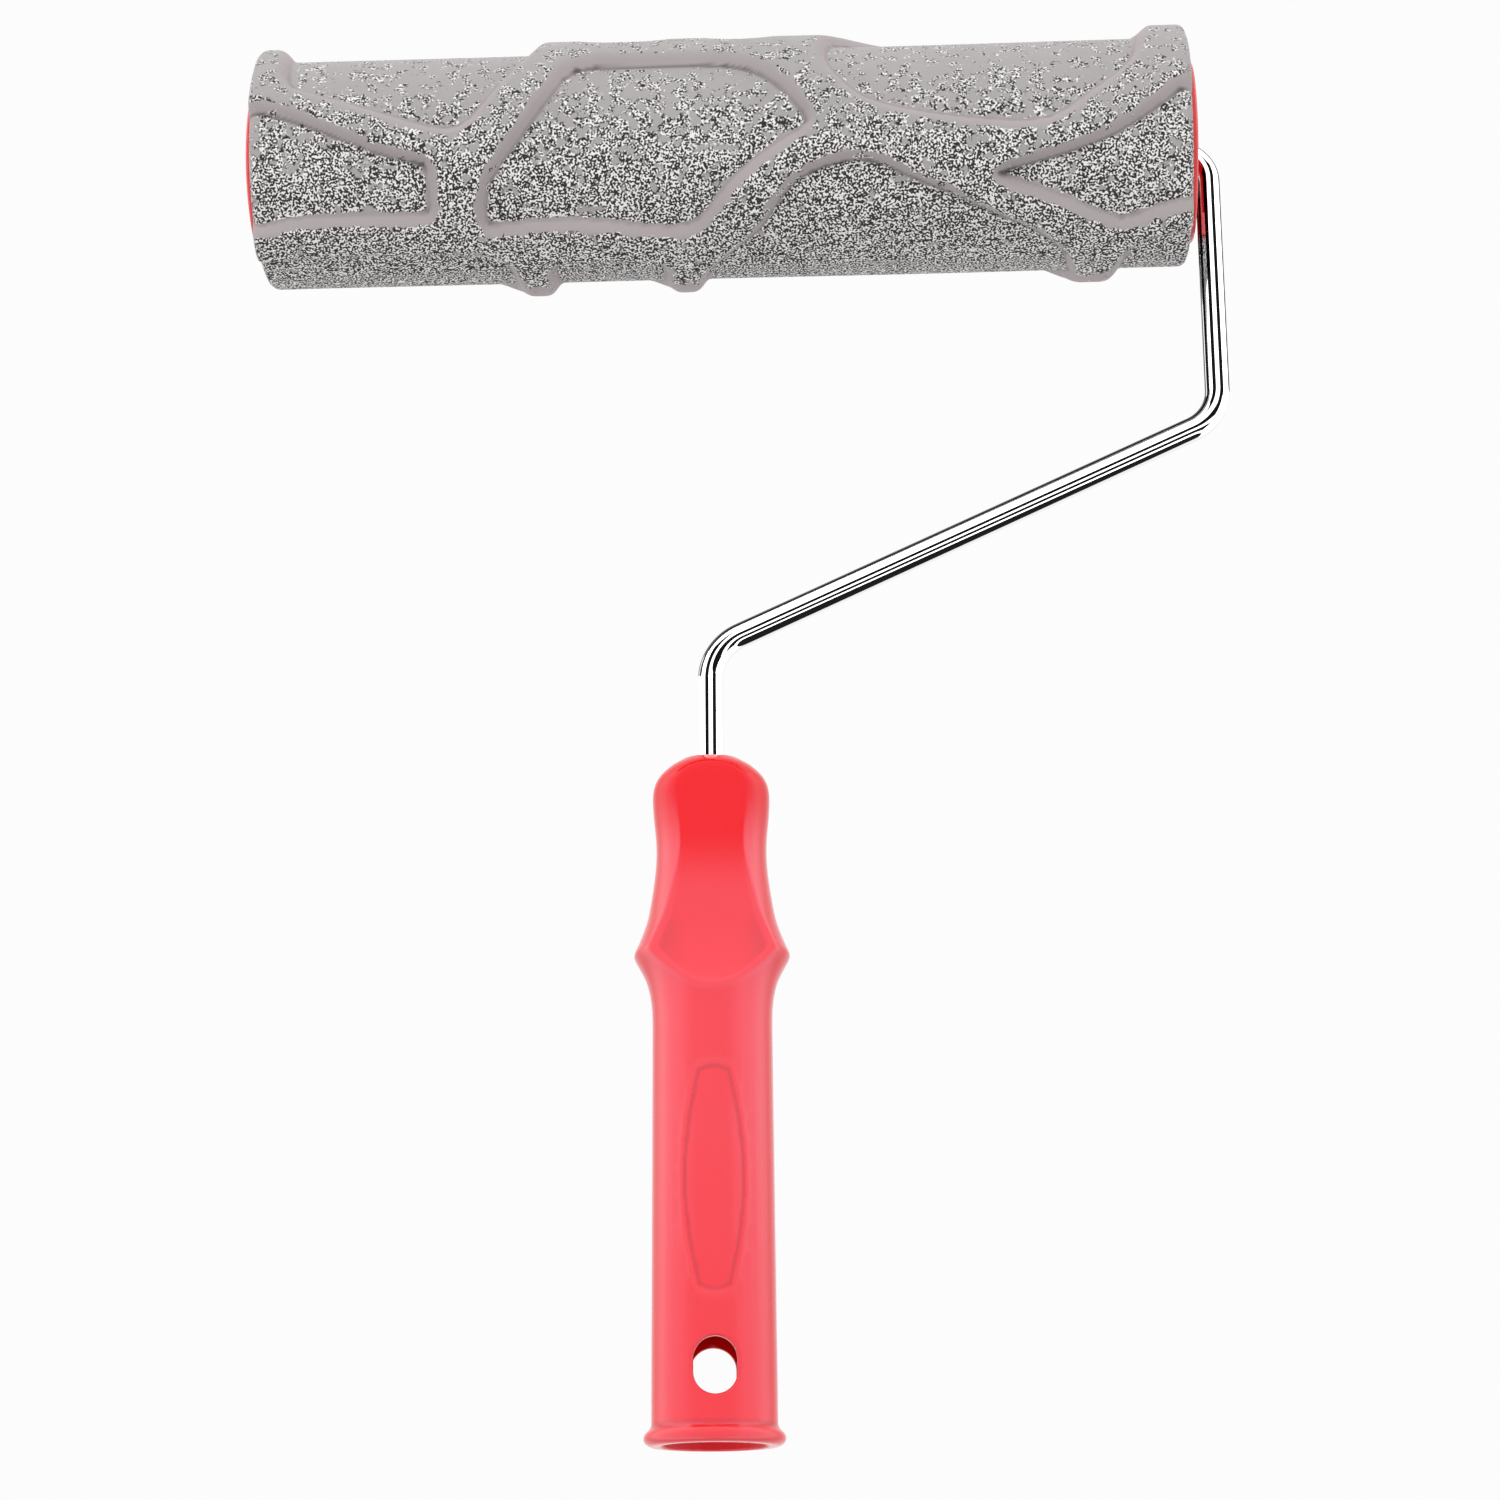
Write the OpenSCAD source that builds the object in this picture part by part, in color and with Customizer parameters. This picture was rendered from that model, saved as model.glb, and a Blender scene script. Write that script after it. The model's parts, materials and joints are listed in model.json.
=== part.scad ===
// Textured pattern roller for decorating plaster and paint.
// A rubber pattern sleeve turns on a bent wire frame that ends in a moulded handle.
// X runs along the roller towards the arm, Z runs up the handle, and the front faces -Y.
// The origin is the centre of the handle's open mouth, where an extension pole enters.

/* [Roller] */
// Width of the roller over its two end caps
roller_width = 228.6; // [210:0.1:240]
// Radius of the sleeve between the ridges
sleeve_base_r = 27.6; // [26.5:0.1:30]
// Height of the ridges above the sleeve
ridge_h = 3.2; // [2:0.1:3.8]
// Inner radius of the sleeve, which is the outer radius of the core tube
core_r = 22; // [21.5:0.1:23]
// Wall of the core tube
core_wall = 1.8; // [1.4:0.1:2.2]

/* [Wire frame] */
// Diameter of the frame wire
wire_d = 6; // [5:0.1:6.4]
// Height of the roller's axis above the handle's mouth
axle_z = 310; // [295:1:325]
// Height of the corner where the arm meets the slope
upper_corner_z = 240.7; // [232:0.1:246]
// Height of the corner above the handle
lower_corner_z = 186; // [183:0.5:195]
// How far the roller's middle stands to the arm's side of the handle
roller_mid_x = 4; // [-5:0.5:15]

/* [Handle] */
// Length of the handle
handle_len = 157.6; // [156:0.2:162]
// Radius of the grip at its lower end
grip_r = 14.15; // [13.9:0.05:15]
// Radius of the socket for an extension pole
socket_r = 11.75; // [10.5:0.05:11.9]
// Depth of the socket
socket_depth = 75; // [60:1:78]
// Width of the hanging slot
slot_w = 9.7; // [7:0.1:11]
// Length of the hanging slot
slot_len = 12.6; // [12:0.1:15]
// Height of the hanging slot's centre
slot_z = 16.7; // [14:0.1:18]

/* [Pattern] */
// How far a cell's corner is rounded along its sides
cell_round = 9; // [6:0.5:11]
// How far a ridge's foot stands out beyond the cell outline's design line
flank_spread = 1.9; // [0.8:0.1:2.2]
// How far a ridge's rounded shoulder reaches in over the ridge
shoulder = 0.9; // [0:0.1:1]

/* [Hidden] */
$fn = 96;
eps = 0.01;

red = "#e8323c";
rubber_grey = "#b4afae";

// Roller
flange_t = 1.5;
sleeve_len = roller_width - 2 * flange_t;
ridge_r = sleeve_base_r + ridge_h;
sleeve_end_round = 2.2;
base_end_chamfer = 0.8;
design_half_len = 112.8;

// End cap, with depths measured inwards from its outer face
tube_bore_r = core_r - core_wall;
cup_mouth_r = 16.5;
cup_floor_r = 16;
cup_depth = 17;
cap_web_t = 2.5;
cap_hub_r = 8.5;
cap_hub_depth = 16.3;
cap_hub_len = 14;
cap_skirt_depth = 24;
cap_skirt_wall = 2;
cap_lead_len = 1;
cap_lead_in = 0.6;
cap_edge = 0.4;
cover_seat_depth = 6;

// Bearings on the wire
wire_r = wire_d / 2;
running_gap = 0.05;
bush_r = wire_r + 2.2;
bush_flange_r = bush_r + 1.8;
bush_flange_t = 1.2;
end_play = 0.1;
washer_t = 1;
washer_r = wire_r + 3.5;
washer_gap = 0.1;
collar_len = 4.6;
collar_r = wire_r + 2.4;
clip_t = 0.8;
clip_r = wire_r + 3.4;
clip_teeth = 6;
clip_slit_w = 0.7;
clip_root_r = wire_r + 1.9;

// Wire path in the XZ plane
arm_gap = 0.7;
arm_x = roller_mid_x + roller_width / 2 + arm_gap + wire_r;
wire_end_inset = 10.3;
wire_end_x = roller_mid_x - roller_width / 2 + wire_end_inset;
tang_z = socket_depth + 13;
wire_points = [[wire_end_x, axle_z], [arm_x, axle_z], [arm_x, upper_corner_z],
               [0, lower_corner_z], [0, tang_z]];
wire_bends = [8, 11, 12];
wire_chamfer = 0.8;
ear_w = wire_d + 4;
ear_t = 2;
ear_h = 7;
ear_z = tang_z + 8;

// Handle outline from the wire down to the grip, as [radius, height].
// The crown's points are [radius, drop below the handle's top].
CROWN = [[7.2, 0], [8.5, 0.5], [10.1, 1.7], [11.7, 3.3], [12.9, 4.9], [13.45, 6.7]];
HEAD_WAIST = [[13.65, 148.8], [13.4, 144], [12.95, 139.5], [12.8, 135.4], [13, 131.5], [13.4, 128],
              [14, 124], [14.8, 119.8], [15.9, 116.4], [17.2, 113.2], [17.75, 112]];
GUARD_TIP = [[18, 111.4], [18, 110.9]];
GUARD_UNDER = [[17.6, 110], [16.4, 107.9], [15.2, 105.4], [14.4, 102.6], [13.95, 99.6], [13.78, 96.5],
               [13.76, 92]];
outline_steps = 3;
grip_foot_z = 4.4;

// Bead round the mouth
bead_r = 1.75;
bead_centre_r = grip_r + 0.05;
bead_first_a = 70;
bead_sweep = 160;
bead_steps = 10;

// Thumb rest, panel and socket details
scoop_r = 28;
scoop_z = 117;
scoop_y = 10;
scoop_lean = 1.4;
scoop_reach = 50;
panel_z = 58.3;
panel_half_h = 25.4;
panel_half_w = 7.15;
panel_side_r = 90.7;
panel_depth = 0.5;
socket_mouth = 0.4;
socket_cone = 8;

// Pattern cells, unrolled. Each point is [x, angle, rounding], where x is measured from the
// sleeve's middle in mm and angle runs round the roller in degrees: 0 faces the front and
// 90 faces up. The rounding is optional. A cell that passes the sleeve's end is open there.
// The last entry of each cell is a point inside it.
open_end = 120;
CELLS = [
  // Above the long left ridge
  [[[-105, 21, 4], [-91, 10.5], [-76, -1], [-64.5, -8, 6], [-58, -2], [-52, 18], [-46, 38], [-44, 54],
    [-44, 72], [-49, 92], [-62, 108], [-84, 113], [-105, 114, 6], [-107, 98], [-106.5, 50]],
   [-76, 56]],
  // Left, open at the end
  [[[-open_end, 15.5], [-103, 7.5], [-89, -5.5], [-76, -16.5], [-68.5, -17, 5], [-67.9, -30],
    [-67.9, -48, 3.5], [-84, -47.5], [-100, -48], [-108, -51], [-open_end, -58]],
   [-90, -30]],
  // Large cell in the middle of the front
  [[[-36, 36.5, 6], [-16, 36], [3, 36], [12, 26], [18.5, 11], [24.5, -6.5, 5], [14, -18], [4, -33],
    [-2, -50], [-7, -58.5, 6], [-18, -57.5], [-36, -51.5], [-57.5, -55.5, 4], [-57.8, -42],
    [-57, -29], [-49, -9], [-41.5, 15]],
   [-20, -10]],
  // Lower left, open at the end
  [[[-open_end, -72], [-104, -66], [-84, -65], [-66, -66], [-52, -69, 5], [-49.5, -84], [-49.2, -105],
    [-50.5, -127], [-62, -144, 6], [-80, -146], [-open_end, -137]],
   [-80, -105]],
  // Underside, between the two narrow ridges
  [[[-42.5, -74, 4.5], [-30, -73], [-13, -75, 4.5], [-12.8, -92], [-13, -108], [-13.8, -128], [-24, -143, 6],
    [-36, -146], [-47, -142, 6], [-43, -127], [-42.3, -105]],
   [-28, -105]],
  // Under the arch
  [[[-6, -88], [1, -70], [8, -57], [11.5, -45], [15.5, -34], [21, -26], [29, -21.5], [37, -21],
    [45, -29], [55, -38], [67, -51], [77, -61], [84, -76], [85.5, -100], [84.5, -126], [73, -147, 6],
    [48, -151], [24, -159], [5, -153], [-9, -145, 5], [-6.8, -128], [-6, -105]],
   [40, -92]],
  // Lower right, open at the end
  [[[open_end, -62], [112, -63], [101, -68], [95.5, -77], [94.5, -103], [93.5, -126], [84, -145, 6],
    [98, -160], [open_end, -168]],
   [108, -108]],
  // Right wedge, open at the end
  [[[61, -31.5, 8], [83.5, -20], [94, -12], [103.5, 0.5], [112, 15], [open_end, 27], [open_end, -48],
    [112, -50.5], [104, -53.5], [96, -63, 7], [84, -48.7]],
   [100, -25]],
  // Upper right
  [[[24.3, 30], [27.5, 18], [33, 5], [42, -1.5], [54, -6.5], [68, -10], [79.5, -10.5, 7], [88, 2],
    [96, 15], [100.5, 26], [101.5, 40], [103, 60], [102.5, 82], [96, 97, 6], [75, 104], [56, 100],
    [41, 89], [33, 80], [25.5, 64], [24, 45]],
   [66, 46]],
  // Back, above left
  [[[-33, 56, 6], [-13, 56, 6], [-14, 100], [-20, 145], [-25, 182], [-32, 196, 6], [-47, 203, 6],
    [-54, 186], [-59, 152], [-52, 124], [-40, 98], [-34, 76]],
   [-36, 130]],
  // Back, in the middle
  [[[-3, 56, 6], [11, 56, 6], [13, 74], [21, 94], [34, 110, 6], [34, 126], [27, 150], [19, 173],
    [6, 188], [-9, 201, 5], [-13, 180], [-9, 148], [-3, 100]],
   [8, 135]],
  // Back right, open at the end
  [[[54, 117, 6], [75, 123], [99, 114], [open_end, 107], [open_end, 172], [92, 182], [69, 196],
    [48, 190], [29, 182, 6], [38, 152], [47, 126]],
   [78, 155]],
  // Back left, open at the end
  [[[-open_end, 133], [-86, 131], [-68, 130, 6], [-70, 150], [-65, 182], [-68, 199, 6], [-84, 196],
    [-open_end, 203]],
   [-92, 165]]
];

// ---------- Pattern sleeve ----------

// An outline point in mm on the unrolled ridge surface
function unrolled(p) = [p[0] * sleeve_len / (2 * design_half_len), p[1] * PI / 180 * ridge_r];

function area2(pts) = let (n = len(pts))
  vec_sum([for (i = [0 : n - 1]) cross(pts[i], pts[(i + 1) % n])]);
function vec_sum(v, i = 0) = i == len(v) ? 0 : v[i] + vec_sum(v, i + 1);
function reversed(v) = [for (i = [len(v) - 1 : -1 : 0]) v[i]];
function anticlockwise(pts) = area2(pts) < 0 ? reversed(pts) : pts;

// One corner drawn as a parabola that starts and ends on the corner's two sides
function rounded_corner(a, b, c, r) = let (
    from_a = min(r, norm(a - b) / 2),
    to_c = min(r, norm(c - b) / 2),
    p = b + (a - b) * from_a / norm(a - b),
    q = b + (c - b) * to_c / norm(c - b)
  ) [p, (p + 2 * b + q) / 4, q];

function rounded_outline(cell) = let (n = len(cell))
  [for (i = [0 : n - 1]) each rounded_corner(unrolled(cell[(i + n - 1) % n]), unrolled(cell[i]),
      unrolled(cell[(i + 1) % n]), len(cell[i]) > 2 ? cell[i][2] : cell_round)];

// The same outline without repeated points and with no step round the roller over max_turn
max_turn = 6;
shortest_step = 0.3;
function cleaned(pts) = let (n = len(pts))
  [for (i = [0 : n - 1]) if (norm(pts[(i + 1) % n] - pts[i]) > shortest_step) pts[i]];
function divided(pts) = let (n = len(pts))
  [for (i = [0 : n - 1]) let (a = pts[i], b = pts[(i + 1) % n], k = ceil(abs(b[1] - a[1]) / max_turn))
    for (j = [0 : max(k, 1) - 1]) a + (b - a) * j / max(k, 1)];

// The outline moved outwards by d
function grown(pts, d) = let (n = len(pts))
  [for (i = [0 : n - 1]) let (t = pts[(i + 1) % n] - pts[(i + n - 1) % n])
    pts[i] + d * [t[1], -t[0]] / norm(t)];

function wrapped(p, r) = let (a = p[1] / ridge_r * 180 / PI) [p[0], -r * cos(a), r * sin(a)];

// The tool that sinks one cell: flanks, a sloping shoulder, then straight out past the ridges
shoulder_drop = 1.1;
clear_r = 1.7 * ridge_r;
module cell_cutter(cell) {
  outline = divided(cleaned(anticlockwise(rounded_outline(cell[0]))));
  n = len(outline);
  layers = [[sleeve_base_r - 1, -flank_spread], [ridge_r - shoulder_drop, -flank_spread / 3],
            [ridge_r + eps, shoulder], [clear_r, shoulder]];
  last = len(layers) - 1;
  eye = unrolled(cell[1]);
  points = [for (l = layers) each [for (p = grown(outline, l[1])) wrapped(p, l[0])],
            wrapped(eye, layers[0][0]), wrapped(eye, clear_r)];
  walls = [for (k = [0 : last - 1]) for (i = [0 : n - 1]) let (j = (i + 1) % n, lo = k * n, hi = lo + n)
    each [[lo + i, hi + i, hi + j], [lo + i, hi + j, lo + j]]];
  floor_faces = [for (i = [0 : n - 1]) [i, (i + 1) % n, n * (last + 1)]];
  top_faces = [for (i = [0 : n - 1]) [last * n + (i + 1) % n, last * n + i, n * (last + 1) + 1]];
  polyhedron(points, concat(walls, floor_faces, top_faces));
}

// A tube along X, centred on its middle, from its half profile of [length, radius] points
module turned(profile) rotate([90, 0, 90]) rotate_extrude() polygon([for (p = profile) [p[1], p[0]]]);

function round_end(x, r, side) = [for (a = [0 : 22.5 : 90])
  let (b = side > 0 ? 90 - a : a)
  [x + side * sleeve_end_round * (cos(b) - 1), r + sleeve_end_round * (sin(b) - 1)]];

module ridge_shell() {
  half = sleeve_len / 2;
  inner = sleeve_base_r - 0.3;
  turned(concat([[-half, inner]], round_end(-half, ridge_r, -1), round_end(half, ridge_r, 1),
                [[half, inner]]));
}

module sleeve_wall() {
  half = sleeve_len / 2;
  c = base_end_chamfer;
  turned([[-half, core_r], [-half, sleeve_base_r - c], [-half + c, sleeve_base_r],
          [half - c, sleeve_base_r], [half, sleeve_base_r - c], [half, core_r]]);
}

module pattern_sleeve() color(rubber_grey) translate([roller_mid_x, 0, axle_z]) {
  sleeve_wall();
  difference() {
    ridge_shell();
    for (cell = CELLS) cell_cutter(cell);
  }
}

// ---------- Roller core ----------

module core_tube() color("white") translate([roller_mid_x, 0, axle_z])
  turned([[-sleeve_len / 2, tube_bore_r], [-sleeve_len / 2, core_r],
          [sleeve_len / 2, core_r], [sleeve_len / 2, tube_bore_r]]);

// Places a part on the axle with its own outer face at x = 0 and +X pointing into the roller
module at_cap_face(side) translate([roller_mid_x + side * roller_width / 2, 0, axle_z])
  mirror([side > 0 ? 1 : 0, 0, 0]) children();

module end_cap() turned([
  [0, cup_mouth_r], [0, core_r - cap_edge], [cap_edge, core_r], [flange_t, core_r],
  [flange_t, tube_bore_r], [cap_skirt_depth - cap_lead_len, tube_bore_r],
  [cap_skirt_depth, tube_bore_r - cap_lead_in], [cap_skirt_depth, tube_bore_r - cap_skirt_wall],
  [cup_depth + cap_web_t, tube_bore_r - cap_skirt_wall],
  [cup_depth + cap_web_t, cap_hub_r], [cap_hub_depth + cap_hub_len, cap_hub_r],
  [cap_hub_depth + cap_hub_len, bush_r], [cap_hub_depth, bush_r], [cap_hub_depth, cap_hub_r],
  [cup_depth, cap_hub_r], [cup_depth, cup_floor_r], [cover_seat_depth, cup_mouth_r]]);

module inner_end_cap() color(red) at_cap_face(1) end_cap();
module outer_end_cap() color(red) at_cap_face(-1) end_cap();

module bush() turned([
  [cap_hub_depth - bush_flange_t, wire_r + running_gap], [cap_hub_depth - bush_flange_t, bush_flange_r],
  [cap_hub_depth, bush_flange_r], [cap_hub_depth, bush_r], [cap_hub_depth + cap_hub_len, bush_r],
  [cap_hub_depth + cap_hub_len, wire_r + running_gap]]);

module inner_bush() color("ivory") at_cap_face(1) bush();
module outer_bush() color("ivory") at_cap_face(-1) bush();

washer_depth = cap_hub_depth - bush_flange_t - end_play - washer_t;
module thrust_washer() turned([
  [washer_depth, wire_r + washer_gap], [washer_depth, washer_r],
  [washer_depth + washer_t, washer_r], [washer_depth + washer_t, wire_r + washer_gap]]);

module inner_thrust_washer() color("gainsboro") at_cap_face(1) thrust_washer();
module outer_thrust_washer() color("gainsboro") at_cap_face(-1) thrust_washer();

stop_depth = washer_depth - end_play;
module stop_collar() color("silver") at_cap_face(1) turned([
  [stop_depth - collar_len, wire_r], [stop_depth - collar_len, collar_r - cap_edge],
  [stop_depth - collar_len + cap_edge, collar_r], [stop_depth - cap_edge, collar_r],
  [stop_depth, collar_r - cap_edge], [stop_depth, wire_r]]);

module retaining_clip() color("silver") at_cap_face(-1) difference() {
  turned([[stop_depth - clip_t, wire_r], [stop_depth - clip_t, clip_r],
          [stop_depth, clip_r], [stop_depth, wire_r]]);
  for (i = [0 : clip_teeth - 1]) rotate([i * 360 / clip_teeth, 0, 0])
    translate([stop_depth - clip_t - eps, -clip_slit_w / 2, 0])
      cube([clip_t + 2 * eps, clip_slit_w, clip_root_r]);
}

cover_t = 1.6;
cover_skirt_r = cup_mouth_r - 1.5;
dish_r = 9;
dish_rim_r = 10.5;
dish_depth = 0.6;
module axle_end_cover() color(red) at_cap_face(-1) turned([
  [dish_depth, 0], [dish_depth, dish_r], [0, dish_rim_r], [0, cup_mouth_r - cap_edge],
  [cap_edge, cup_mouth_r], [cover_seat_depth, cup_mouth_r], [cover_seat_depth, cover_skirt_r],
  [cover_t, cover_skirt_r], [cover_t, dish_rim_r], [cover_t + dish_depth, dish_r],
  [cover_t + dish_depth, 0]]);

// ---------- Wire frame ----------

function heading(a, b) = atan2(b[1] - a[1], b[0] - a[0]);
function half_turned(t) = t > 180 ? t - 360 : t <= -180 ? t + 360 : t;
function turn_at(i) = half_turned(heading(wire_points[i], wire_points[i + 1])
                                  - heading(wire_points[i - 1], wire_points[i]));
function is_end(i) = i == 0 || i == len(wire_points) - 1;
function bend_cut(i) = wire_bends[i - 1] * tan(abs(turn_at(i)) / 2);
function straight_from(i) = is_end(i) ? wire_chamfer : bend_cut(i) - elbow_lap;
function along(a, b, d) = a + (b - a) * d / norm(b - a);

// Each elbow is a hair thicker than the wire, and the straights run a little way into it
elbow_r = wire_r + 0.01;
elbow_lap = 0.3;

module wire_rod(a, b, r1, r2) translate([a[0], 0, a[1]]) rotate([0, 90 - heading(a, b), 0])
  cylinder(h = norm(b - a), r1 = r1, r2 = r2);

module wire_elbow(i) {
  before = wire_points[i - 1];
  corner = wire_points[i];
  start = along(corner, before, bend_cut(i));
  side = turn_at(i) > 0 ? 90 : -90;
  r = wire_bends[i - 1];
  into = heading(before, corner) + side;
  centre = start + r * [cos(into), sin(into)];
  first = turn_at(i) > 0 ? into + 180 : into + 180 + turn_at(i);
  translate([centre[0], 0, centre[1]]) rotate([90, 0, 0]) rotate([0, 0, first])
    rotate_extrude(angle = abs(turn_at(i))) translate([r, 0]) circle(r = elbow_r);
}

module tang_ears() translate([-ear_w / 2, -ear_t / 2, ear_z]) cube([ear_w, ear_t, ear_h]);

module frame_wire() color("silver") {
  last = len(wire_points) - 1;
  for (i = [0 : last - 1]) {
    a = wire_points[i];
    b = wire_points[i + 1];
    wire_rod(along(a, b, straight_from(i)), along(b, a, straight_from(i + 1)), wire_r, wire_r);
  }
  for (i = [1 : last - 1]) wire_elbow(i);
  left = wire_points[0];
  wire_rod(left, left + [wire_chamfer, 0], wire_r - wire_chamfer, wire_r);
  bottom = wire_points[last];
  wire_rod(bottom, bottom + [0, wire_chamfer], wire_r - wire_chamfer, wire_r);
  tang_ears();
}

// ---------- Handle ----------

// A smooth curve through the outline's points, with the given number of steps between them
function eased(a, b, c, d, t) =
  b + (c - a) * t / 2 + (2 * a - 5 * b + 4 * c - d) * t * t / 2 + (3 * b - a - 3 * c + d) * t * t * t / 2;
function smoothed(pts, steps) = let (last = len(pts) - 1)
  [for (i = [0 : last - 1]) for (k = [0 : steps - 1])
    eased(pts[max(i - 1, 0)], pts[i], pts[i + 1], pts[min(i + 2, last)], k / steps), pts[last]];

crown_points = [for (p = CROWN) [p[0], handle_len - p[1]]];
grip_top = GUARD_UNDER[len(GUARD_UNDER) - 1];

function bead_points() = [for (i = [0 : bead_steps]) let (a = bead_first_a - i * bead_sweep / bead_steps)
  [bead_centre_r + bead_r * cos(a), bead_r + bead_r * sin(a)]];

module handle_body() rotate_extrude() polygon(concat(
  [[0, handle_len]], smoothed(concat(crown_points, HEAD_WAIST), outline_steps), GUARD_TIP,
  smoothed(GUARD_UNDER, outline_steps), [[grip_r, grip_foot_z]], bead_points(), [[0, 0]]));

// The thumb rest on the front of the head: a hollow that runs up into a flat, slightly leaning face
module thumb_scoop() translate([-scoop_reach / 2, -scoop_y, scoop_z]) {
  translate([0, -scoop_r, 0]) rotate([0, 90, 0]) cylinder(h = scoop_reach, r = scoop_r, $fn = 180);
  rotate([scoop_lean, 0, 0]) translate([0, -scoop_reach, 0]) cube(scoop_reach);
}

// Outline of the panel: two long side arcs, closed by a rounded top and bottom
module panel_outline() intersection() {
  translate([panel_half_w - panel_side_r, 0]) circle(r = panel_side_r, $fn = 240);
  translate([panel_side_r - panel_half_w, 0]) circle(r = panel_side_r, $fn = 240);
  union() {
    for (side = [-1, 1]) translate([0, side * (panel_half_h - panel_half_w)]) circle(r = panel_half_w);
    square([2 * panel_half_w, 2 * (panel_half_h - panel_half_w)], center = true);
  }
}

// A shallow panel on the front of the grip, with a floor that runs parallel to the grip
function grip_radius(z) =
  grip_r + (grip_top[0] - grip_r) * (z - grip_foot_z) / (grip_top[1] - grip_foot_z);
module panel_recess() intersection() {
  rotate([90, 0, 0]) translate([0, panel_z, 0]) linear_extrude(height = 2 * grip_r) panel_outline();
  difference() {
    cylinder(h = handle_len, r = 2 * grip_r);
    cylinder(h = handle_len, r1 = grip_radius(0) - panel_depth, r2 = grip_radius(handle_len) - panel_depth);
  }
}

module hang_slot() {
  half = (slot_len - slot_w) / 2;
  rotate([90, 0, 0]) linear_extrude(height = 4 * grip_r, center = true) {
    for (side = [-1, 1]) translate([0, slot_z + side * half]) circle(d = slot_w);
    translate([-slot_w / 2, slot_z - half]) square([slot_w, 2 * half]);
  }
}

module handle() color(red) difference() {
  handle_body();
  translate([0, 0, -eps]) cylinder(h = socket_depth + eps, r = socket_r);
  translate([0, 0, -eps]) cylinder(h = socket_mouth + eps, r1 = socket_r + socket_mouth + eps, r2 = socket_r);
  translate([0, 0, socket_depth - eps]) cylinder(h = socket_cone, r1 = socket_r, r2 = wire_r);
  translate([0, 0, tang_z + wire_chamfer]) cylinder(h = handle_len, r = wire_r);
  translate([0, 0, tang_z]) cylinder(h = wire_chamfer, r1 = wire_r - wire_chamfer, r2 = wire_r);
  tang_ears();
  hang_slot();
  thumb_scoop();
  panel_recess();
}

pattern_sleeve();
core_tube();
inner_end_cap();
outer_end_cap();
inner_bush();
outer_bush();
inner_thrust_washer();
outer_thrust_washer();
stop_collar();
retaining_clip();
axle_end_cover();
frame_wire();
handle();
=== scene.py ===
"""Looks for the textured pattern roller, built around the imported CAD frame.

The rubber sleeve, the handle and the frame wire are rebuilt as fine meshes that follow the CAD nodes.
The other nodes keep their CAD shape and get procedural materials. Lengths are in metres.
"""
import json
import math

import bmesh
import bpy
import numpy as np
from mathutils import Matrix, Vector
from mathutils.bvhtree import BVHTree

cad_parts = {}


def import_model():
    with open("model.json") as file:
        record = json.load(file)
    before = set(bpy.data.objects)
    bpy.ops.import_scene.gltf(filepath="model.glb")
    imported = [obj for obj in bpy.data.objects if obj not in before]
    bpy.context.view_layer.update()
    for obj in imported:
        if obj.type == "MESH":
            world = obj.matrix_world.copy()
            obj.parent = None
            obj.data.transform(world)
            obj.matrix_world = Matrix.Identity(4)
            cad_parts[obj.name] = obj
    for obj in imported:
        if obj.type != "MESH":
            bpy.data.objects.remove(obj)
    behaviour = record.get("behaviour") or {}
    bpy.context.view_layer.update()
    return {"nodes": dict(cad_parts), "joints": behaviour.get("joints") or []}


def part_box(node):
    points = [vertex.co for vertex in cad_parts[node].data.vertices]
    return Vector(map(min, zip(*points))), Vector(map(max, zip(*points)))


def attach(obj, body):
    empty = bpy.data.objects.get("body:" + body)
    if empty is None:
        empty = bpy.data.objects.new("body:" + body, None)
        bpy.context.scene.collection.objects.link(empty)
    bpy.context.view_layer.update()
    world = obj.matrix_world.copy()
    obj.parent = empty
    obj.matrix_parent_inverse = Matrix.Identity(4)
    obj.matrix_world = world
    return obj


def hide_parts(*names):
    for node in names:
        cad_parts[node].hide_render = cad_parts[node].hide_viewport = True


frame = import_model()

MM = 0.001
NODES = frame["nodes"]
JOINTS = {j["name"]: j for j in frame["joints"]}
AXLE = Vector(JOINTS["roller_spin"]["pos_m"])


# ---------------------------------------------------------------- mesh helpers

def new_object(name, verts, faces, material, smooth=True):
    """A mesh object from vertex and face lists, linked to the scene."""
    mesh = bpy.data.meshes.new(name)
    mesh.from_pydata([tuple(v) for v in verts], [], [tuple(int(i) for i in f) for f in faces])
    mesh.polygons.foreach_set("use_smooth", [smooth] * len(mesh.polygons))
    mesh.materials.append(material)
    mesh.update()
    obj = bpy.data.objects.new(name, mesh)
    bpy.context.scene.collection.objects.link(obj)
    return obj


def grid_faces(rows, cols, start=0, closed=True, skip=None):
    """Quads between neighbouring rows of a grid of points. skip(row, col) leaves a quad out."""
    faces = []
    for i in range(rows - 1):
        for j in range(cols if closed else cols - 1):
            if skip is not None and skip(i, j):
                continue
            k = (j + 1) % cols
            faces.append((start + i * cols + j, start + i * cols + k,
                          start + (i + 1) * cols + k, start + (i + 1) * cols + j))
    return faces


def faces_between(loops):
    """Quads between neighbouring closed loops of vertex numbers, all of the same length."""
    return [(a[k], a[(k + 1) % len(a)], b[(k + 1) % len(a)], b[k])
            for a, b in zip(loops, loops[1:]) for k in range(len(a))]


def node_tree(obj):
    """A ray-casting tree of a CAD node, in the node's own coordinates."""
    return BVHTree.FromObject(obj, bpy.context.evaluated_depsgraph_get())


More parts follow.
